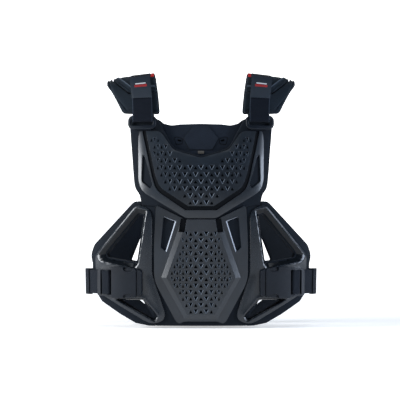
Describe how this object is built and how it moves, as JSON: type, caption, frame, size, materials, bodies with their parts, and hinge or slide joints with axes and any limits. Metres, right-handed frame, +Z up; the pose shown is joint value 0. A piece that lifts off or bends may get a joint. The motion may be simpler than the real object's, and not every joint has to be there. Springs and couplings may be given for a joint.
{
  "type": "roost deflector",
  "caption": "Sleeveless chest, belly and back guard of vented hard shells on foam, with padded shoulder straps and a buckled waist strap at each side.",
  "frame": {"origin": "on the middle plane of the body, at the underside of the crown of the shoulder pads, where the wearer's shoulders carry the guard", "axes": "+Z up along the wearer's trunk, -Y out of the chest, +X to the right as seen from the front"},
  "size_m": [0.4936, 0.2461, 0.5361],
  "materials": {
    "shell": "semi-matte charcoal, moulded",
    "foam": "matte black foam with a cloth face",
    "bib": "matte knitted cloth on foam",
    "hook_and_loop": "deep black loop pile",
    "tab_rubber": "matte slate rubber",
    "webbing": "woven black webbing",
    "hardware": "black acetal with soft gloss",
    "red": "red woven tape",
    "tag": "dull bare metal, blank"
  },
  "bodies": {
    "root": {"front_foam": "foam", "back_foam": "foam", "chest_shell": "shell", "abdomen_shell": "shell", "back_shell": "shell", "neck_bib": "bib", "neck_tag": "tag", "wing_shell_right": "shell", "wing_foam_right": "foam", "back_wing_shell_right": "shell", "back_wing_foam_right": "foam", "shoulder_pad_base_right": "foam", "shoulder_pad_top_right": "foam", "shoulder_strap_right": "hook_and_loop", "shoulder_tab_right": "tab_rubber", "red_pull_right": "red", "shoulder_loop_right": "hardware", "waist_strap_right": "webbing", "strap_keeper_right": "webbing", "buckle_socket_right": "hardware", "buckle_plug_right": "hardware", "wing_shell_left": "shell", "wing_foam_left": "foam", "back_wing_shell_left": "shell", "back_wing_foam_left": "foam", "shoulder_pad_base_left": "foam", "shoulder_pad_top_left": "foam", "shoulder_strap_left": "hook_and_loop", "shoulder_tab_left": "tab_rubber", "red_pull_left": "red", "shoulder_loop_left": "hardware", "waist_strap_left": "webbing", "strap_keeper_left": "webbing", "buckle_socket_left": "hardware", "buckle_plug_left": "hardware"}
  },
  "joints": []
}
